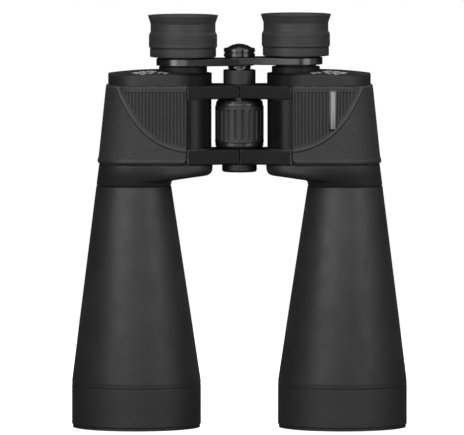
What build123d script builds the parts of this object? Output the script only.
"""Porro-prism astronomy binoculars with 70 mm objectives, standing on their objective rims.

Frame, in millimetres: the Z axis is the hinge axle, with the objective rims on z = 0 and the eyepieces up.
-Y is the side that faces up in use. A user looking down the barrels has +X on the left and -X on the right.
Every half is drawn on the +X side and mirrored for the right one. Threads are drawn as smooth cylinders.
"""

import os
from math import cos, radians, sin, sqrt

from build123d import *

# --- where the axes stand, measured from the hinge axle ---
OBJECTIVE_X = 63.8
EYEPIECE_X = 34.9
NECK_X = 65.4  # the neck of the objective tube is turned a little outside the optical axis
FOLD_DEG = 36.5  # each half folds this far towards +Y

# --- levels along the optical axes ---
RING_TOP = 26.0
BELL_TOP = 29.1
NECK_Z = 149.5
LOWER_ARM = (163.5, 172.9)
UPPER_ARM = (204.0, 212.5)
HOUSING = (163.5, 212.5)
COVER_CROWN_Z = 221.5
COVER_CROWN_R = 230.0
BRIDGE = (224.1, 228.5)
OCULAR_RING = (229.4, 235.1)
OCULAR_CUP = (235.35, 245.8)
GUIDE_TOP = 223.7
EYECUP = (235.5, 255.2)
LEFT_EYEPIECE_RISE = 0.8  # the left bridge arm is stacked this much above the right one
BRIDGE_STACK_TOP = BRIDGE[1] + LEFT_EYEPIECE_RISE
COLLAR_TOP = 221.6

# --- objective end ---
BARREL_R = 40.0
TUBE_R = 39.9
SPIGOT_R = 38.5
TUBE_BORE_R = 37.2
NECK_R = 23.2
NECK_SPIGOT_R = 21.5
NECK_BORE_R = 19.9
LENS_R = 36.0
CLEAR_R = 35.0

# --- prism housing, seen along the axis ---
HINGE_END_X = 17.3
FRONT_Y = -27.0
BACK_Y = 33.0
OUTER_X_BOTTOM = 86.1
OUTER_X_TOP = 81.0
OUTER_CORNER_R = 22.0
FRONT_CORNER_R = 17.5  # beside the focus wheel
BACK_CORNER_R = 20.0  # round enough for the halves to fold together
WALL = 2.4
ARMOUR_THICK = 1.5
ARMOUR_EDGE_X = 32.0
ARM_FRONT = ((0.45, -13.0), (31.9, -28.0))  # the arms' front faces slant outwards from the axle
ARM_BACK_Y = 14.0

# --- prisms ---
PRISM_HALF = (OBJECTIVE_X - EYEPIECE_X) / sqrt(2)  # half the hypotenuse, and the shift of one prism
SHELF = (186.0, 189.0)
COLUMNS = ((25.0, 17.6), (50.0, -22.5), (62.0, 28.4))
LOWER_SCREWS = ((25.0, 17.6), (27.0, -8.5))
COLUMN_R = 2.6
COLUMN_STEP_R = 3.6
WEB_THICK = 2.0
SCREW_R = 1.15
PILOT_R = 1.25
CLEARANCE_HOLE_R = 1.4
SCREW_HEAD_R = 2.4
TOP_HEAD = (218.1, 219.5)

# --- hinge and focus column ---
AXLE_R = 6.0
AXLE_BORE_R = 4.1
SPINDLE_R = 4.0
SPINDLE_TOP = 233.0
RUNNING = 0.05
KNUCKLE_R = 10.0
KNUCKLE_GAP = 0.6
WASHER_THICK = 0.4
WHEEL = (173.3, 203.6)
WHEEL_R = 14.9
GRIP = (176.6, 199.4)
GRIP_INNER_R = 13.3
GRIP_RIBS = 20
FOCUS_LEAD = 12.0  # bridge travel for one turn of the wheel
FOCUS_TRAVEL = 10.0
DRIVE_PIN_Z = 182.0
DRIVE_PIN_R = 1.4
GROOVE_DEPTH_R = 8.6
CAP_R = 10.8
CAP = (158.2, 163.2)
SOCKET_R = 2.6  # minor radius of the 1/4 in tripod thread
SOCKET_TOP = 171.0

# --- eyepieces ---
GUIDE_R = 14.9
GUIDE_BORE_R = 12.6
BARREL_TUBE_R = 12.5
BARREL_TUBE_BORE_R = 11.45
OCULAR_TUBE_R = 11.35
OCULAR_BORE_R = 10.2
OCULAR_CUP_R = 18.9
EYE_LENS_R = 12.15
BRIDGE_RING_R = 16.5
HUB_RING_R = 9.0
HUB_SLEEVE_R = 5.0
OCULAR_RING_R = 20.5

BOTTOM = (Align.CENTER, Align.CENTER, Align.MIN)
LIFT = Pos(0, 0, LEFT_EYEPIECE_RISE)


# ---------------------------------------------------------------- helpers
def rod(radius, low, high, x=0.0, y=0.0):
    """A vertical cylinder from z = low to z = high."""
    return Pos(x, y, low) * Cylinder(radius, high - low, align=BOTTOM)


def tube(outer, inner, low, high, x=0.0, y=0.0):
    """A vertical tube from z = low to z = high."""
    return rod(outer, low, high, x, y) - rod(inner, low - 1, high + 1, x, y)


def turned(points, x=0.0):
    """A solid of revolution about the vertical line at x, from a closed outline of (radius, z) points."""
    face = make_face(Plane.XZ * Polyline(*points, close=True))
    return Pos(x, 0, 0) * revolve(face, Axis.Z)


def circles_at(part, radius, z):
    """The circular edges of a part with this radius at this height."""
    rounds = part.edges().filter_by(GeomType.CIRCLE)
    return [e for e in rounds if abs(e.radius - radius) < 0.01 and abs(e.center().Z - z) < 0.01]


def prism_block(points, low, high):
    """A vertical extrusion of a plan polygon."""
    face = make_face(Polyline(*points, close=True))
    return Pos(0, 0, low) * extrude(face, high - low)


def frustum(low_r, low_z, low_x, high_r, high_z, high_x):
    """An oblique cone between two level circles."""
    low = Pos(low_x, 0, low_z) * Circle(low_r)
    high = Pos(high_x, 0, high_z) * Circle(high_r)
    return loft([low, high])


def lens(radius, low_z, low_curve, high_z, high_curve, x):
    """A lens between two spherical faces. low_z and high_z are the vertices; a curve is a signed radius,
    positive when its centre is above the face."""

    def height(vertex, curve, r):
        return vertex + curve - (1 if curve > 0 else -1) * sqrt(curve**2 - r**2)

    half = radius / 2
    low_edge = height(low_z, low_curve, radius)
    high_edge = height(high_z, high_curve, radius)
    outline = [
        ThreePointArc((0, low_z), (half, height(low_z, low_curve, half)), (radius, low_edge)),
        Line((radius, low_edge), (radius, high_edge)),
        ThreePointArc((radius, high_edge), (half, height(high_z, high_curve, half)), (0, high_z)),
        Line((0, high_z), (0, low_z)),
    ]
    face = make_face([Plane.XZ * edge for edge in outline])
    return Pos(x, 0, 0) * revolve(face, Axis.Z)


# ---------------------------------------------------------------- plan outline of the body
def plan(outer_x, inset=0.0):
    """The housing's plan outline, a rectangle with large round corners, shrunk all round by inset."""
    corners = {
        (HINGE_END_X, FRONT_Y): FRONT_CORNER_R,
        (outer_x, FRONT_Y): OUTER_CORNER_R,
        (outer_x, BACK_Y): OUTER_CORNER_R,
        (HINGE_END_X, BACK_Y): BACK_CORNER_R,
    }
    face = make_face(Polyline(*corners, close=True))
    for (x, y), radius in corners.items():
        vertex = face.vertices().sort_by_distance((x, y, 0))[0]
        face = fillet(vertex, radius)
    if inset:
        face = offset(face, -inset, kind=Kind.ARC)
    return face


def outer_x(z):
    """Where the sloping outer end of the housing stands at height z."""
    low, high = HOUSING
    return OUTER_X_BOTTOM + (OUTER_X_TOP - OUTER_X_BOTTOM) * (z - low) / (high - low)


def body_block(low, high, inset=0.0):
    """The housing's outline as a solid that leans in at its outer end."""
    return loft([Pos(0, 0, z) * plan(outer_x(z), inset) for z in (low, high)])


# ---------------------------------------------------------------- objective end
def objective_tube():
    solid = rod(SPIGOT_R, 4, RING_TOP, OBJECTIVE_X) + rod(TUBE_R, RING_TOP, BELL_TOP, OBJECTIVE_X)
    solid += frustum(TUBE_R, BELL_TOP, OBJECTIVE_X, NECK_R, NECK_Z - 0.1, NECK_X)
    solid += rod(NECK_SPIGOT_R, NECK_Z - 0.1, 156.0, NECK_X)
    bore = rod(TUBE_BORE_R, 3, BELL_TOP, OBJECTIVE_X)
    bore += frustum(TUBE_BORE_R, BELL_TOP, OBJECTIVE_X, NECK_BORE_R, NECK_Z, NECK_X)
    bore += rod(NECK_BORE_R, NECK_Z, 157.0, NECK_X)
    return solid - bore


def objective_ring():
    """The sleeve at the front of the tube. Its lip is the face that the binoculars stand on."""
    ring = turned(
        [
            (36.6, 0),
            (BARREL_R - 0.6, 0),
            (BARREL_R - 0.6, 1.6),
            (BARREL_R, 2.2),
            (BARREL_R, RING_TOP - 0.15),
            (SPIGOT_R + 0.05, RING_TOP - 0.15),
            (SPIGOT_R + 0.05, 3.9),
            (36.6, 3.9),
        ],
        OBJECTIVE_X,
    )
    ring = fillet(circles_at(ring, 36.6, 0), 0.5)
    return fillet(circles_at(ring, BARREL_R, RING_TOP - 0.15), 0.3)


def objective_cell():
    cell = tube(TUBE_BORE_R - 0.05, LENS_R + 0.08, 13.0, 25.0, OBJECTIVE_X)
    return cell + tube(TUBE_BORE_R - 0.05, CLEAR_R, 25.0, 28.0, OBJECTIVE_X)


def objective_crown():
    return lens(LENS_R, 12.0, 170.0, 22.4, -130.0, OBJECTIVE_X)


def objective_flint():
    return lens(LENS_R, 22.45, -130.0, 26.5, -400.0, OBJECTIVE_X)


def objective_retainer():
    ring = tube(LENS_R, 34.9, 13.1, 15.5, OBJECTIVE_X)
    return chamfer(circles_at(ring, 34.9, 13.1), 0.6)


# ---------------------------------------------------------------- covers and housing
def lower_cover():
    """The front cover: a plate that thickens outwards, blended into the collar for the objective tube."""
    low, high = 149.55, HOUSING[0] - 0.1
    plate = Pos(0, 0, low) * extrude(plan(OUTER_X_BOTTOM, -0.7), high - low)
    plate = fillet(plate.edges().group_by(Axis.Z)[-1], 0.4)
    underside = [(0, 158.0), (HINGE_END_X, 157.6), (42.0, 155.2), (120, 150.2), (120, 130), (0, 130)]
    under = make_face(Plane.XZ * Polyline(*underside, close=True))
    plate -= extrude(under, 60, both=True)
    rim = [e for e in plate.edges() if 150 < e.center().Z < 158.5 and e.center().X < 80]
    plate = fillet(rim, 1.6)
    blend = loft(
        [
            Pos(NECK_X, 0, low) * Circle(NECK_R),
            Pos(NECK_X, 0, low + 3.0) * Circle(NECK_R + 0.2),
            Pos(64.6, 2.2, 159.8) * Ellipse(22.0, 29.6),
        ]
    )
    cover = plate + blend
    cover -= rod(NECK_SPIGOT_R + 0.1, low - 1, 156.2, NECK_X)
    cover -= rod(NECK_BORE_R, low, high + 1, NECK_X)
    pocket = Pos(0, 0, 160.6) * extrude(plan(OUTER_X_BOTTOM, 4.0), 5)
    for x, y in LOWER_SCREWS:
        pocket -= rod(4.0, 160, 166, x, y)
    cover -= pocket
    for x, y in LOWER_SCREWS:
        cover -= rod(CLEARANCE_HOLE_R, 150, 166, x, y)
        cover -= rod(SCREW_HEAD_R + 0.2, 150, 159.6, x, y)
    return cover


def top_cover():
    """The crowned cover at the eyepiece end, bored for the eyepiece guide."""
    low = HOUSING[1] + 0.1
    cover = Pos(0, 0, low) * extrude(plan(OUTER_X_TOP, -0.2), 12)
    cover &= Pos(49.0, 3.0, COVER_CROWN_Z - COVER_CROWN_R) * Sphere(COVER_CROWN_R)
    rim = [e for e in cover.edges() if e.center().Z > low + 4]
    cover = fillet(rim, 0.7)
    pocket = Pos(0, 0, low - 1) * extrude(plan(OUTER_X_TOP, 3.0), 5)
    pocket -= rod(17.0, low - 1, low + 5, EYEPIECE_X)
    for x, y in COLUMNS:
        pocket -= rod(4.0, low - 1, low + 5, x, y)
    cover -= pocket
    cover -= rod(GUIDE_R + RUNNING, low - 1, 230, EYEPIECE_X)
    for x, y in COLUMNS:
        cover -= rod(CLEARANCE_HOLE_R, low - 1, 230, x, y)
        cover -= rod(SCREW_HEAD_R + 0.2, TOP_HEAD[0], 230, x, y)
    return cover


def swing_zone(gap, depth):
    """The plan region that one half may fill at full height and still clear the other when both fold."""
    lean = depth * (sin(radians(FOLD_DEG)) / cos(radians(FOLD_DEG)) + 0.02)
    return [(gap, -60), (gap, 0), (gap + lean, depth), (gap + lean + 60, depth), (gap + lean + 60, -60)]


def hinge_arm(level, ring_high):
    """One hinge arm out to the housing, with its knuckle in the upper or lower half of its height."""
    low, high = level
    middle = (low + high) / 2
    hinge_end, body_end = ARM_FRONT
    root_x, root_y = 38.0, FRONT_Y + 1.0
    outline = [hinge_end, body_end, (body_end[0], root_y), (root_x, root_y), (root_x, ARM_BACK_Y)]
    outline += [(11.3, ARM_BACK_Y), (hinge_end[0], 0)]
    arm = prism_block(outline, low, high)
    slope_length = sqrt((body_end[0] - hinge_end[0]) ** 2 + (body_end[1] - hinge_end[1]) ** 2)
    arm = fillet([e for e in arm.edges() if abs(e.length - slope_length) < 0.01], 0.9)
    arm &= prism_block(swing_zone(hinge_end[0], 60), low - 1, high + 1)
    ring = (middle + KNUCKLE_GAP / 2, high) if ring_high else (low, middle - KNUCKLE_GAP / 2)
    rest = (low - 1, ring[0]) if ring_high else (ring[1], high + 1)
    arm -= rod(KNUCKLE_R + 0.3, *rest)
    arm += rod(KNUCKLE_R, *ring)
    return arm - rod(AXLE_R + RUNNING, low - 1, high + 1)


def strap_lug():
    """A cast loop for the neck strap, on the back of the housing near its outer top corner."""
    lug = Pos(58.0, BACK_Y + 1.5, 196.0) * Box(15.0, 9.0, 5.0)
    lug = fillet(lug.edges().filter_by(Axis.Z).group_by(Axis.Y)[-1], 3.5)
    lug -= Pos(58.0, BACK_Y + 3.0, 196.0) * Box(9.5, 2.6, 8.0)
    return lug


def column_web(x, y, top):
    """A rib that ties a screw column to the housing's wall beside the hinge."""
    low = HOUSING[0] - 1
    length = x - HINGE_END_X
    return Pos(HINGE_END_X + length / 2, y, (low + top) / 2) * Box(length, WEB_THICK, top - low)


def prism_housing(upper_ring_high, lower_ring_high):
    """The cast housing of one half, open at both ends, with its two hinge arms and its strap lug."""
    shell = body_block(*HOUSING)
    shell += hinge_arm(UPPER_ARM, upper_ring_high) + hinge_arm(LOWER_ARM, lower_ring_high) + strap_lug()
    low, high = HOUSING
    cavity = loft([Pos(0, 0, z) * plan(outer_x(z), WALL) for z in (low - 0.5, high + 0.5)])
    for x, y in COLUMNS:
        cavity -= rod(COLUMN_STEP_R, low - 1, SHELF[0] - 0.05, x, y)
        cavity -= rod(COLUMN_R, low - 1, high + 1, x, y)
    front_x, front_y = LOWER_SCREWS[1]
    cavity -= rod(COLUMN_R, low - 1, 172.0, front_x, front_y)
    cavity -= column_web(*COLUMNS[0], SHELF[0] - 0.05) + column_web(front_x, front_y, 172.0)
    shell -= cavity
    for x, y in COLUMNS:
        shell -= rod(PILOT_R, 204, high + 1, x, y)
    for x, y in LOWER_SCREWS:
        shell -= rod(PILOT_R, low - 1, 170.0, x, y)
    return shell


def armour():
    """The rubber skin, from its edge beside the hinge arms round the outer end of the housing."""
    low, high = HOUSING[0] + 0.3, HOUSING[1] - 0.3
    skin = body_block(low, high, -ARMOUR_THICK) - body_block(low - 1, high + 1, -RUNNING)
    skin &= Pos(ARMOUR_EDGE_X + 50, 0, 190) * Box(100, 140, 80)
    return skin - Pos(58.0, BACK_Y + 4, 196.0) * Box(16.0, 12.0, 6.0)


def cover_screws():
    """Three screws in the top cover and two in the lower cover of one half."""
    screws = []
    for x, y in COLUMNS:
        screws.append(rod(SCREW_R, 207, TOP_HEAD[0], x, y) + rod(SCREW_HEAD_R, *TOP_HEAD, x, y))
    for x, y in LOWER_SCREWS:
        screws.append(rod(SCREW_R, 159.6, 169, x, y) + rod(SCREW_HEAD_R, 158.2, 159.6, x, y))
    return Compound([s.solid() for s in screws])


# ---------------------------------------------------------------- prisms
def on_prism(shape, upper):
    """Moves a shape drawn on z = 0, with its length along X, to where the upper or lower prism sits."""
    middle_y = PRISM_HALF / (2 * sqrt(2))
    middle_x = (OBJECTIVE_X + EYEPIECE_X) / 2
    shift = (OBJECTIVE_X - EYEPIECE_X) / 4
    if upper:
        return Pos(middle_x + shift, middle_y, SHELF[1] + 0.05) * Rot(0, 0, 135) * shape
    return Pos(middle_x - shift, middle_y, SHELF[0] - 0.05) * Rot(0, 0, 45) * Rot(180, 0, 0) * shape


def porro_prism():
    """A right-angle prism lying on its hypotenuse face, with its sharp edges ground off."""
    half, tip = PRISM_HALF, 0.4
    face = make_face(
        Plane.XZ
        * Polyline(
            (-half + tip, 0),
            (half - tip, 0),
            (half - tip, tip),
            (2 * tip, half - 2 * tip),
            (-2 * tip, half - 2 * tip),
            (-half + tip, tip),
            close=True,
        )
    )
    return extrude(face, PRISM_HALF / 2, both=True)


def prism_clip():
    """A spring strap that holds a prism down by its roof edge."""
    half, thick, lift = PRISM_HALF, 0.5, 0.55
    right = [
        (1.2, half - 1.2 + lift),
        (half, lift),
        (half + lift - 0.05, 0.05),
        (half + 2.4, 0.05),
        (half + 2.4, 0.05 + thick),
        (half + lift + 0.2, 0.05 + thick),
        (1.4, half - 1.2 + lift + thick),
    ]
    left = [(-x, z) for x, z in reversed(right)]
    face = make_face(Plane.XZ * Polyline(*right, *left, close=True))
    return extrude(face, 2.5, both=True)


def prism_shelf():
    """The plate between the prisms, with a window for each pass of the beam."""
    low, high = SHELF
    plate = Pos(0, 0, low) * extrude(plan(outer_x(high), WALL + 0.15), high - low)
    turn_x, turn_y = (OBJECTIVE_X + EYEPIECE_X) / 2, PRISM_HALF / sqrt(2)
    for x, y in ((OBJECTIVE_X, 0), (turn_x, turn_y), (EYEPIECE_X, 0)):
        plate -= rod(9.4, low - 1, high + 1, x, y)
    for x, y in COLUMNS:
        plate -= rod(COLUMN_R + 0.1, low - 1, high + 1, x, y)
    return plate


# ---------------------------------------------------------------- eyepieces
def eyepiece_guide():
    guide = tube(GUIDE_R, GUIDE_BORE_R, HOUSING[1] + 0.3, GUIDE_TOP, EYEPIECE_X)
    return chamfer(circles_at(guide, GUIDE_R, GUIDE_TOP), 0.4)


def eyepiece_barrel():
    return tube(BARREL_TUBE_R, BARREL_TUBE_BORE_R, 208.0, OCULAR_RING[1] - 2.0, EYEPIECE_X)


def ocular_body():
    """The lens carrier: a tube inside the barrel and a cup that the eyecup is stretched over."""
    low, high = OCULAR_CUP
    seat_r = EYE_LENS_R + 0.05
    return turned(
        [
            (OCULAR_BORE_R, low - 23.0),
            (OCULAR_TUBE_R, low - 23.0),
            (OCULAR_TUBE_R, low),
            (OCULAR_CUP_R, low),
            (OCULAR_CUP_R, high - 0.8),
            (OCULAR_CUP_R - 0.9, high),
            (15.5, high),
            (13.2, high - 1.0),
            (seat_r, high - 1.0),
            (seat_r, low + 2.5),
            (OCULAR_BORE_R, low + 2.5),
        ],
        EYEPIECE_X,
    )


def lens_rings():
    """The field-stop ring under the field lens and the retaining ring over the eye lens."""
    low, high = OCULAR_CUP
    stop = tube(OCULAR_BORE_R - 0.05, 8.8, low - 20.5, low - 18.9, EYEPIECE_X)
    retainer = tube(EYE_LENS_R, 10.9, high - 2.4, high - 1.2, EYEPIECE_X)
    retainer = chamfer(circles_at(retainer, 10.9, high - 1.2), 0.5)
    return Compound([stop.solid(), retainer.solid()])


def field_lens():
    vertex = OCULAR_CUP[0] - 18.7
    return lens(OCULAR_BORE_R - 0.05, vertex, 40.0, vertex + 5.0, -30.0, EYEPIECE_X)


def eye_lens():
    vertex = OCULAR_CUP[0] + 2.55
    return lens(EYE_LENS_R, vertex, 400.0, vertex + 6.1, -50.0, EYEPIECE_X)


def ocular_ring():
    """The plain ring under the eyecup; the same shape turns as the dioptre ring on the right."""
    low, high = OCULAR_RING
    ring = tube(OCULAR_RING_R, BARREL_TUBE_R + RUNNING, low, high, EYEPIECE_X)
    ring = fillet(circles_at(ring, OCULAR_RING_R, low), 0.6)
    return fillet(circles_at(ring, OCULAR_RING_R, high), 0.3)


def eyecup():
    """The soft eyecup: a proud band, a straight wall and a flared lip."""
    low, high = EYECUP
    return turned(
        [
            (OCULAR_CUP_R + RUNNING, low),
            (20.5, low),
            (21.0, low + 0.7),
            (21.15, low + 1.6),
            (21.15, low + 7.2),
            (20.9, low + 8.3),
            (20.15, low + 9.1),
            (20.15, low + 14.6),
            (20.4, low + 16.2),
            (21.0, low + 18.0),
            (21.75, high - 0.3),
            (21.55, high),
            (20.9, high - 0.05),
            (19.4, low + 17.0),
            (18.5, low + 14.0),
            (18.5, low + 10.7),
            (OCULAR_CUP_R + RUNNING, low + 9.9),
        ],
        EYEPIECE_X,
    )


def bridge_arm(ring_high):
    """One arm of the focusing bridge: a ring round the eyepiece, tapering to a ring on the hub. The hub rings
    of the two arms are stacked; the arm with the upper one is drawn before it is lifted into place."""
    low, high = BRIDGE
    middle = (low + high) / 2 + (-0.5 if ring_high else 0.5) * LEFT_EYEPIECE_RISE
    lean = (BRIDGE_RING_R - HUB_RING_R) / EYEPIECE_X
    rise = sqrt(1 - lean**2)
    web = prism_block(
        [
            (-lean * HUB_RING_R, rise * HUB_RING_R),
            (EYEPIECE_X - lean * BRIDGE_RING_R, rise * BRIDGE_RING_R),
            (EYEPIECE_X - lean * BRIDGE_RING_R, -rise * BRIDGE_RING_R),
            (-lean * HUB_RING_R, -rise * HUB_RING_R),
        ],
        low,
        high,
    )
    arm = web + rod(BRIDGE_RING_R, low, high, EYEPIECE_X)
    arm &= prism_block(swing_zone(0.45, 60), low - 1, high + 1)
    arm = fillet(circles_at(arm, BRIDGE_RING_R, low) + circles_at(arm, BRIDGE_RING_R, high), 0.4)
    ring = (middle + 0.1, high) if ring_high else (low, middle - 0.1)
    rest = (low - 1, ring[0]) if ring_high else (ring[1], high + 1)
    arm -= rod(HUB_RING_R + 0.25, *rest)
    arm += rod(HUB_RING_R, *ring)
    arm -= rod(HUB_SLEEVE_R + RUNNING, low - 1, high + 1)
    return arm - rod(BARREL_TUBE_R + RUNNING, low - 1, high + 1, EYEPIECE_X)


# ---------------------------------------------------------------- hinge and focus column
def hinge_axle():
    """The hollow hinge axle, slotted for the drive pin."""
    axle = tube(AXLE_R, AXLE_BORE_R, CAP[1] + 0.1, COLLAR_TOP - 0.3)
    slot_low, slot_high = DRIVE_PIN_Z - 2.0, DRIVE_PIN_Z + FOCUS_TRAVEL + 2.0
    slot = Pos(0, 0, (slot_low + slot_high) / 2) * Box(20, 2 * DRIVE_PIN_R + 0.2, slot_high - slot_low)
    return axle - slot


def axle_collar():
    """The collar nut that closes the hinge above the upper arms."""
    collar = tube(KNUCKLE_R, AXLE_R + 0.03, UPPER_ARM[1] + 0.2, COLLAR_TOP)
    return fillet(circles_at(collar, KNUCKLE_R, COLLAR_TOP), 0.8)


def hinge_washers():
    """One thin washer between the knuckles of each pair of arms."""
    washers = []
    for low, high in (LOWER_ARM, UPPER_ARM):
        middle = (low + high) / 2
        washers.append(tube(9.6, AXLE_R + RUNNING, middle - WASHER_THICK / 2, middle + WASHER_THICK / 2))
    return Compound([w.solid() for w in washers])


def tripod_socket():
    """The plug that closes the axle at the front, tapped for a tripod adapter."""
    plug = rod(8.5, CAP[0] + 2.3, CAP[1]) + rod(AXLE_BORE_R - 0.03, CAP[1], SOCKET_TOP + 1.5)
    return plug - rod(SOCKET_R, CAP[0], SOCKET_TOP)


def tripod_cap():
    """The cup-shaped dust cap that screws over the plug and leaves its thread empty."""
    low, high = CAP
    cap = rod(CAP_R, low, high) - rod(8.6, low + 2.0, high + 1)
    cap = fillet(circles_at(cap, CAP_R, low), 1.5)
    return fillet(circles_at(cap, CAP_R, high), 0.3)


def focus_wheel():
    """The wheel's core with its rounded end flanges, cam-grooved inside for the drive pin."""
    low, high = WHEEL
    wheel = turned(
        [
            (AXLE_R + RUNNING, low),
            (13.9, low),
            (14.5, low + 0.5),
            (WHEEL_R, low + 1.4),
            (WHEEL_R, GRIP[0] - 0.1),
            (GRIP_INNER_R, GRIP[0] - 0.1),
            (GRIP_INNER_R, GRIP[1] + 0.1),
            (14.6, GRIP[1] + 0.1),
            (14.5, GRIP[1] + 1.6),
            (14.0, GRIP[1] + 2.9),
            (13.0, GRIP[1] + 3.8),
            (12.0, high),
            (AXLE_R + RUNNING, high),
        ]
    )
    for start in (0, 180):
        wheel -= Rot(0, 0, start) * cam_groove()
    return wheel


def cam_groove():
    """One left-handed groove that lifts an end of the drive pin by the focus lead in each turn."""
    height = FOCUS_TRAVEL + 1.2
    path_r = (AXLE_R + GROOVE_DEPTH_R) / 2
    path = Helix(FOCUS_LEAD, height, path_r, lefthand=True)
    start = Plane(path @ 0, x_dir=(1, 0, 0), z_dir=path % 0)
    section = start * Rectangle(GROOVE_DEPTH_R - AXLE_R + 1.0, 2 * DRIVE_PIN_R + 0.5)
    groove = sweep(section, path, is_frenet=True)
    back_deg = 360 * 0.6 / FOCUS_LEAD
    return Pos(0, 0, DRIVE_PIN_Z - 0.6) * Rot(0, 0, back_deg) * groove


def focus_grip():
    """The ribbed rubber sleeve of the focus wheel."""
    low, high = GRIP
    grip = turned(
        [
            (GRIP_INNER_R + RUNNING, low),
            (15.0, low),
            (15.25, low + 0.5),
            (15.25, low + 1.3),
            (15.0, low + 1.9),
            (15.0, high - 0.5),
            (14.7, high),
            (GRIP_INNER_R + RUNNING, high),
        ]
    )
    groove = Pos(15.15, 0, (low + high) / 2 + 0.5) * Box(1.1, 1.0, high - low - 5.0)
    for n in range(GRIP_RIBS):
        grip -= Rot(0, 0, (n + 0.5) * 360 / GRIP_RIBS) * groove
    return grip


def focus_spindle():
    """The rod that the drive pin lifts, carrying the bridge at its top."""
    spindle = rod(SPINDLE_R, 176.0, SPINDLE_TOP)
    return spindle - Pos(0, 0, DRIVE_PIN_Z) * Rot(0, 90, 0) * Cylinder(DRIVE_PIN_R + 0.01, 20)


def drive_pin():
    return Pos(0, 0, DRIVE_PIN_Z) * Rot(0, 90, 0) * Cylinder(DRIVE_PIN_R, 2 * (GROOVE_DEPTH_R - 0.3))


def bridge_hub():
    """The sleeve on the spindle that both bridge arms turn on."""
    low, shoulder = COLLAR_TOP + 0.4, BRIDGE[0] - 0.1
    hub = rod(7.0, low, shoulder) + rod(HUB_SLEEVE_R, shoulder, BRIDGE_STACK_TOP + 0.1)
    hub = fillet(circles_at(hub, 7.0, low) + circles_at(hub, 7.0, shoulder), 0.4)
    return hub - rod(SPINDLE_R + 0.02, low - 1, BRIDGE_STACK_TOP + 1)


def bridge_cap():
    """The domed screw cap that holds the bridge arms on the hub."""
    low = BRIDGE_STACK_TOP + 0.15
    cap = turned(
        [
            (0, low),
            (9.2, low),
            (9.7, low + 0.4),
            (9.7, low + 2.0),
            (9.1, low + 2.2),
            (9.1, low + 2.9),
            (9.7, low + 3.1),
            (9.7, low + 5.0),
            (9.3, low + 5.5),
            (7.6, low + 5.7),
            (0, low + 5.7),
        ]
    )
    dome_r, dome_base_r = 13.0, 7.6
    centre_z = low + 5.7 - sqrt(dome_r**2 - dome_base_r**2)
    dome = Pos(0, 0, centre_z) * Sphere(dome_r)
    cap += dome & rod(dome_base_r, low + 5.0, low + 10)
    return cap - rod(SPINDLE_R + 0.02, low - 1, SPINDLE_TOP + 0.1)


# ---------------------------------------------------------------- the assembly
def body_side():
    """The parts of one half that stay with its housing, drawn for the left side."""
    return {
        "objective_tube": objective_tube(),
        "objective_ring": objective_ring(),
        "objective_cell": objective_cell(),
        "objective_crown_lens": objective_crown(),
        "objective_flint_lens": objective_flint(),
        "objective_retainer": objective_retainer(),
        "lower_cover": lower_cover(),
        "top_cover": top_cover(),
        "armour": armour(),
        "cover_screws": cover_screws(),
        "prism_shelf": prism_shelf(),
        "prism_upper": on_prism(porro_prism(), True),
        "prism_lower": on_prism(porro_prism(), False),
        "prism_clips": Compound([on_prism(prism_clip(), side).solid() for side in (True, False)]),
        "eyepiece_guide": eyepiece_guide(),
    }


def eyepiece_side():
    """The parts of one eyepiece, drawn for the left side at the right one's height."""
    return {
        "eyepiece_barrel": eyepiece_barrel(),
        "ocular_body": ocular_body(),
        "lens_rings": lens_rings(),
        "field_lens": field_lens(),
        "eye_lens": eye_lens(),
        "ocular_ring": ocular_ring(),
        "eyecup": eyecup(),
    }


def assembly():
    parts = {
        "hinge_axle": hinge_axle(),
        "axle_collar": axle_collar(),
        "hinge_washers": hinge_washers(),
        "tripod_socket": tripod_socket(),
        "tripod_cap": tripod_cap(),
        "focus_wheel": focus_wheel(),
        "focus_grip": focus_grip(),
        "focus_spindle": focus_spindle(),
        "drive_pin": drive_pin(),
        "bridge_hub": bridge_hub(),
        "bridge_cap": bridge_cap(),
        "bridge_arm_left": LIFT * bridge_arm(True),
        "bridge_arm_right": mirror(bridge_arm(False), Plane.YZ),
        "prism_housing_left": prism_housing(False, True),
        "prism_housing_right": mirror(prism_housing(True, False), Plane.YZ),
    }
    for name, shape in body_side().items():
        parts[name + "_left"] = shape
        parts[name + "_right"] = mirror(shape, Plane.YZ)
    for name, shape in eyepiece_side().items():
        parts[name + "_left"] = LIFT * shape
        right = "dioptre_ring" if name == "ocular_ring" else name + "_right"
        parts[right] = mirror(shape, Plane.YZ)
    return parts


os.makedirs("parts", exist_ok=True)
for node, shape in assembly().items():
    export_step(shape, f"parts/{node}.step")
